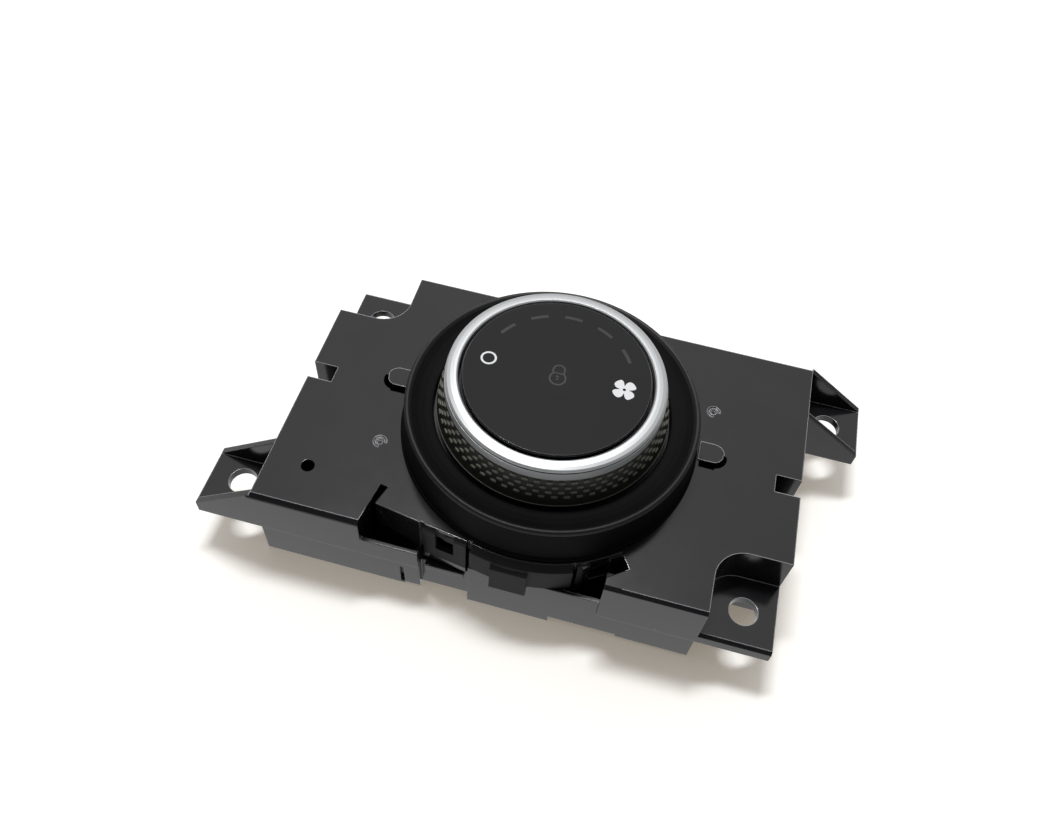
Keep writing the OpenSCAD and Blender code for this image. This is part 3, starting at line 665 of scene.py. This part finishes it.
def from_nodes(name, tree, values, body):
    """Runs a node tree with these inputs and keeps its result as a plain mesh."""
    holder = bpy.data.objects.new(name, bpy.data.meshes.new(name))
    bpy.context.scene.collection.objects.link(holder)
    modifier = holder.modifiers.new(name, "NODES")
    modifier.node_group = tree
    sockets = {item.name: item.identifier for item in tree.interface.items_tree if item.in_out == "INPUT"}
    for label, value in values.items():
        modifier[sockets[label]] = value
    bpy.context.view_layer.update()
    evaluated = holder.evaluated_get(bpy.context.evaluated_depsgraph_get())
    mesh = bpy.data.meshes.new_from_object(evaluated)
    bpy.data.objects.remove(holder)
    new_piece(name, mesh, body)


def grip_knurl(material):
    """Four rows of bumps round the grip, each row half a step on from the one above."""
    first_row = GRIP_TOP - KNURL_FIRST_ROW_BELOW_TOP
    from_nodes("grip_knurl", knurl_tree(material), {
        "Rows": KNURL_ROWS, "Per Row": KNURL_PER_ROW,
        "Top": first_row * MM, "Row Pitch": KNURL_ROW_PITCH * MM,
        "Top Radius": grip_radius(first_row) * MM,
        "Slope": (GRIP_FOOT_R - GRIP_TOP_R) / (GRIP_TOP - GRIP_FOOT),
        "Start": math.radians(KNURL_START_DEG),
        "Width": BUMP_WIDTH / 2 * MM, "Height": BUMP_HEIGHT / 2 * MM, "Proud": BUMP_PROUD * MM,
    }, KNOB)


def add_torus(shape, ring_r, tube_r, height, around, across):
    """A round bead about the dial's axis."""
    loops = []
    for i in range(around):
        turn = 2 * math.pi * i / around
        loop = []
        for j in range(across):
            lean = 2 * math.pi * j / across
            radius = (ring_r + tube_r * math.cos(lean)) * MM
            z = (height + tube_r * math.sin(lean)) * MM
            loop.append(shape.verts.new((radius * math.cos(turn), radius * math.sin(turn), z)))
        loops.append(loop)
    for i in range(around):
        for j in range(across):
            here, there = loops[i], loops[(i + 1) % around]
            k = (j + 1) % across
            shape.faces.new((here[j], there[j], there[k], here[k]))


def grip_bead(material):
    """Polished bead round the grip's foot, whose pale colour paints a highlight line."""
    shape = bmesh.new()
    add_torus(shape, GRIP_FOOT_R - BEAD_R / 2, BEAD_R, GRIP_FOOT + BEAD_R, 192, 12)
    for face in shape.faces:
        face.smooth = True
    new_piece("grip_bead", mesh_of("grip_bead", shape), KNOB, material)


def dress_grip():
    grip_knurl(knurl_elastomer())
    grip_bead(painted_highlight_elastomer())


# ---- studio ------------------------------------------------------------------------------------------

def white_table():
    """Matt white table, which takes the shadow.

    For the eye a warm glow keeps it white round a light shadow, and further out it is plain white. Shiny
    things mirror plain white.
    """
    material, tree, place = new_material("white_table")
    path = add(tree, "ShaderNodeLightPath").outputs
    paper = add(tree, "ShaderNodeBsdfDiffuse", {"Color": linear("#fbfbfb")})
    lift = math_node(tree, "MULTIPLY", path["Is Camera Ray"], TABLE_GLOW)
    glow = add(tree, "ShaderNodeEmission", {"Color": linear("#ffefd6"), "Strength": lift})
    near = add(tree, "ShaderNodeAddShader", {0: paper.outputs[0], 1: glow.outputs[0]})
    plain = add(tree, "ShaderNodeEmission", {"Color": linear("#ffffff"), "Strength": 1.0})
    reach = vector_node(tree, "LENGTH", place)
    far = math_node(tree, "MULTIPLY", ramp(tree, reach, *TABLE_PLAIN_FROM, 0.0, 1.0), path["Is Camera Ray"])
    seen = add(tree, "ShaderNodeMixShader", {0: far, 1: near.outputs[0], 2: plain.outputs[0]})
    mirrored = math_node(tree, "MAXIMUM", path["Is Glossy Ray"], path["Is Transmission Ray"])
    white = add(tree, "ShaderNodeEmission", {"Color": linear("#ffffff"), "Strength": TABLE_MIRRORED})
    both = add(tree, "ShaderNodeMixShader", {0: mirrored, 1: seen.outputs[0], 2: white.outputs[0]})
    return finish_material(material, both.outputs[0])


def add_table():
    mesh = bpy.data.meshes.new("table")
    corners = [(x * TABLE_HALF, y * TABLE_HALF, 0) for x, y in ((-1, -1), (1, -1), (1, 1), (-1, 1))]
    mesh.from_pydata(corners, [], [(0, 1, 2, 3)])
    mesh.materials.append(white_table())
    table = bpy.data.objects.new("table", mesh)
    table.location.z = -TABLE_BELOW
    bpy.context.scene.collection.objects.link(table)


def add_softbox(name, place, aim, size, power):
    light = bpy.data.lights.new(name, "AREA")
    light.shape = "RECTANGLE"
    light.size, light.size_y = size
    light.energy = power
    lamp = bpy.data.objects.new(name, light)
    lamp.location = place
    lamp.rotation_euler = (Vector(aim) - Vector(place)).to_track_quat("-Z", "Y").to_euler()
    bpy.context.scene.collection.objects.link(lamp)


def set_world():
    """A white room, brightest above and behind the object and dim towards the front. The eye sees white."""
    world = bpy.data.worlds.new("room")
    bpy.context.scene.world = world
    world.use_nodes = True
    tree = world.node_tree
    tree.nodes.clear()
    way = add(tree, "ShaderNodeTexCoord").outputs["Generated"]
    nearness = math_node(tree, "MAXIMUM", vector_node(tree, "DOT_PRODUCT", way, ROOM_BRIGHT_WAY), 0.0)
    lobe = math_node(tree, "POWER", nearness, ROOM_FOCUS)
    strength = ramp(tree, lobe, 0.0, 1.0, ROOM_DIM, ROOM_BRIGHT)
    room = add(tree, "ShaderNodeBackground", {"Color": linear("#ffffff"), "Strength": strength})
    paper = add(tree, "ShaderNodeBackground", {"Color": linear("#ffffff"), "Strength": 1.0})
    camera_ray = add(tree, "ShaderNodeLightPath").outputs["Is Camera Ray"]
    both = add(tree, "ShaderNodeMixShader", {0: camera_ray, 1: room.outputs[0], 2: paper.outputs[0]})
    add(tree, "ShaderNodeOutputWorld", {"Surface": both.outputs[0]})


def add_camera():
    data = bpy.data.cameras.new("camera")
    data.sensor_fit = "HORIZONTAL"
    data.sensor_width = CAMERA_SENSOR
    data.lens = CAMERA_LENS
    data.clip_start = CAMERA_NEAR * MM
    camera = bpy.data.objects.new("camera", data)
    camera.location = [v * MM for v in CAMERA_AT]
    camera.rotation_euler = [math.radians(v) for v in CAMERA_TURN_DEG]
    bpy.context.scene.collection.objects.link(camera)
    bpy.context.scene.camera = camera


def set_studio():
    bpy.context.scene.view_settings.view_transform = "Standard"
    set_world()
    add_table()
    add_softbox("top_softbox", SOFTBOX_AT, (0, 0, 0), SOFTBOX_SIZE, SOFTBOX_POWER)
    add_camera()


dress_nodes()
dress_face()
dress_grip()
set_studio()
